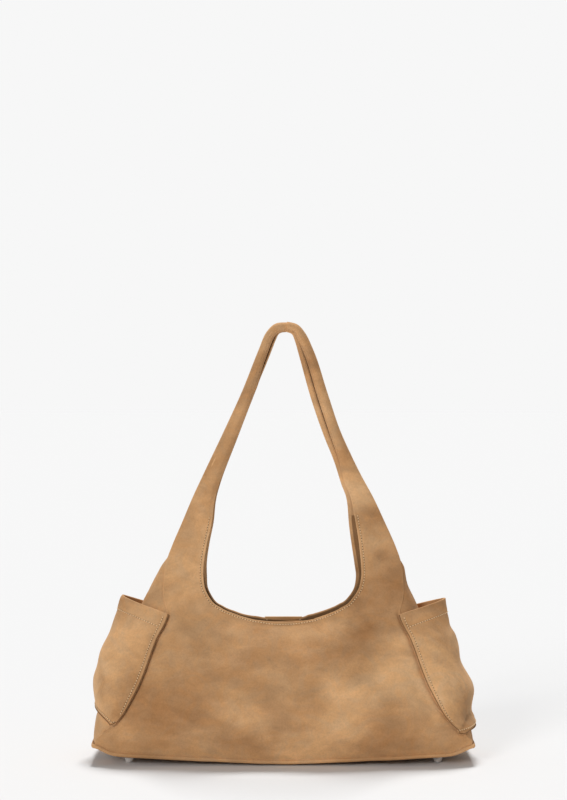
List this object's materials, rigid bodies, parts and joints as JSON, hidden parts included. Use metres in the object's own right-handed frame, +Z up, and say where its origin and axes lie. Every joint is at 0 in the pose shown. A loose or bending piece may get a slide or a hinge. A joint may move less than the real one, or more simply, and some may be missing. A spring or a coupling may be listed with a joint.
{
  "type": "hobo bag",
  "caption": "Slouchy suede hobo bag with an open mouth, arms that close into a folded strap, flared side pockets and metal feet.",
  "frame": {"origin": "on the ground under the middle of the base, centred left to right and front to back", "axes": "+Z up; +X to the right seen from the front; the front panel faces -Y"},
  "size_m": [0.3802, 0.12, 0.4349],
  "materials": {
    "suede": "soft brushed suede nap",
    "suede_inner": "suede facing, unbrushed",
    "lining": "plain woven cotton",
    "board": "pressed fibre board",
    "nickel": "satin nickel plate",
    "zip_metal": "antique brass",
    "zip_cloth": "woven zip tape",
    "webbing": "woven webbing"
  },
  "bodies": {
    "bag": {"front_panel": "suede", "back_panel": "suede", "gusset_left": "suede", "gusset_right": "suede", "base_panel": "suede", "base_welt": "suede", "base_board": "board", "base_feet": "nickel", "foot_washers": "nickel", "pocket_left": "suede", "pocket_right": "suede", "front_facing": "suede_inner", "back_facing": "suede_inner", "lining_front": "lining", "lining_back": "lining", "lining_left": "lining", "lining_right": "lining", "lining_base": "lining", "snap_female": "nickel", "zip_pocket": "lining", "zip_tape": "zip_cloth", "zip_chain": "zip_metal"},
    "strap": {"strap_left": "suede", "strap_right": "suede", "strap_tape": "webbing"},
    "tab": {"closure_tab": "suede", "snap_male": "nickel"},
    "slider": {"zip_slider": "zip_metal"},
    "puller": {"zip_puller": "zip_metal"}
  },
  "joints": [
    {"name": "strap_fold", "type": "hinge", "parent": "bag", "child": "strap", "pos_m": [0, 0, 0.2582], "axis": [1, 0, 0], "range_deg": [-115, 115]},
    {"name": "tab_lift", "type": "hinge", "parent": "bag", "child": "tab", "pos_m": [0, 0.02057, 0.13599], "axis": [-1, 0, 0], "range_deg": [0, 62]},
    {"name": "zip_run", "type": "slide", "parent": "bag", "child": "slider", "axis": [1, 0, 0], "range_m": [0, 0.151]},
    {"name": "puller_swing", "type": "hinge", "parent": "slider", "child": "puller", "pos_m": [-0.0755, 0.03688, 0.076], "axis": [-1, 0, 0], "range_deg": [0, 140]}
  ]
}
